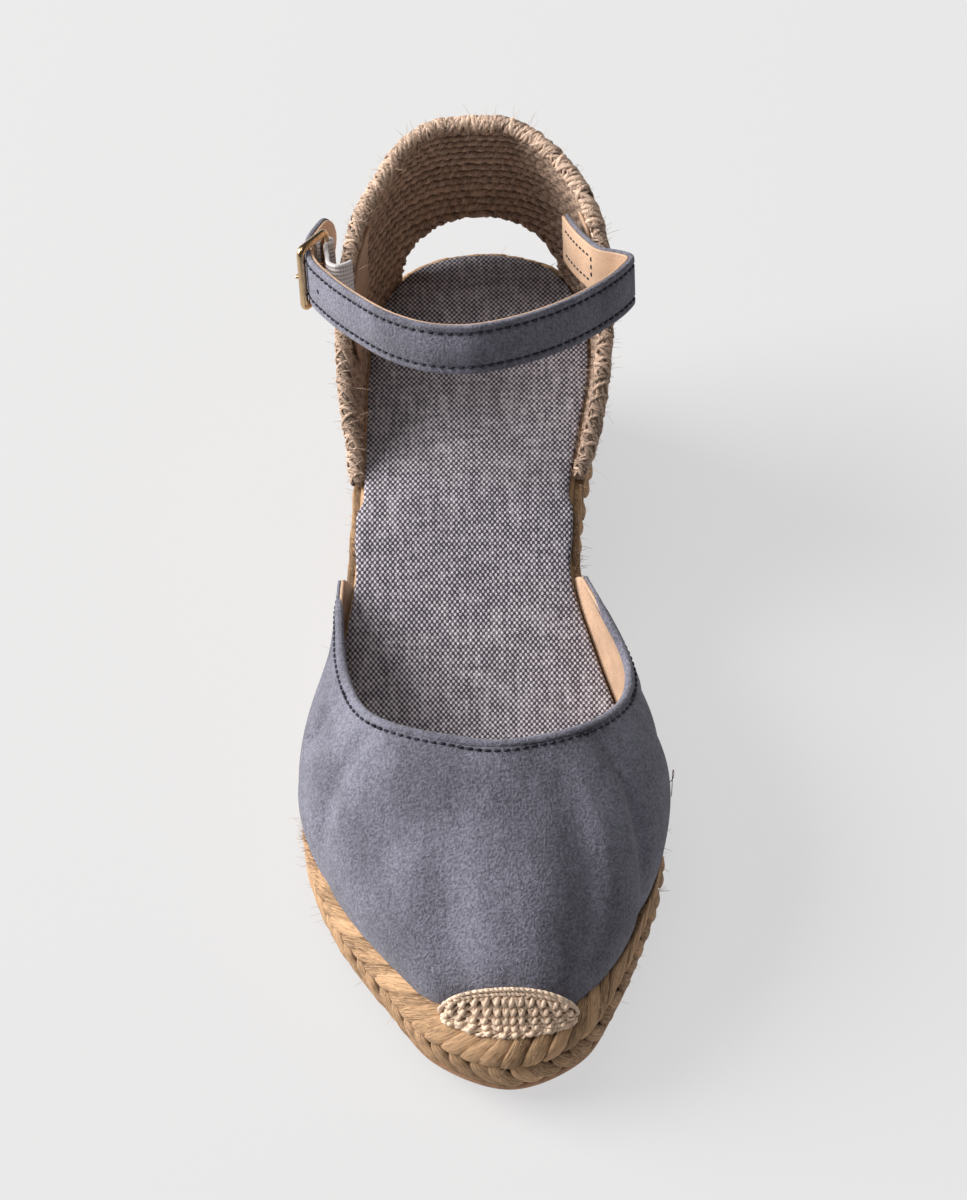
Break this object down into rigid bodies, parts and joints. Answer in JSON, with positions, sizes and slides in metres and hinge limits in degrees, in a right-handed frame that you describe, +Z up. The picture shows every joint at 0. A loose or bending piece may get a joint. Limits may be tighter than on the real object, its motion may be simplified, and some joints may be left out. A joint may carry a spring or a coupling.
{
  "type": "wedge espadrille",
  "caption": "Right wedge espadrille with a closed suede toe, open waist, woven jute heel counter, buckled ankle strap and a braided jute wedge on a thin rubber outsole.",
  "frame": {"origin": "on the floor under the middle of the heel, at the centre of the heel's flat contact", "axes": "+Z up, +Y toward the back of the heel, -Y toward the toe, +X toward the inner side of the foot"},
  "size_m": [0.0943, 0.2393, 0.1158],
  "materials": {
    "rubber": "matte tan rubber",
    "jute_braid": "braided raw jute",
    "canvas": "grey and white woven canvas",
    "suede": "blue grey suede nap",
    "crochet": "cream crocheted yarn",
    "woven_jute": "woven and knitted jute",
    "leather": "smooth tan lining leather",
    "webbing": "ribbed elastic",
    "buckle_metal": "polished pale gold"
  },
  "bodies": {
    "root": {"outsole": "rubber", "wedge": "jute_braid", "insole": "canvas", "vamp": "suede", "toe_patch": "crochet", "counter": "woven_jute", "lateral_lining": "leather", "medial_lining": "leather", "strap": "suede", "elastic": "webbing", "buckle": "buckle_metal", "prong": "buckle_metal"}
  },
  "joints": []
}
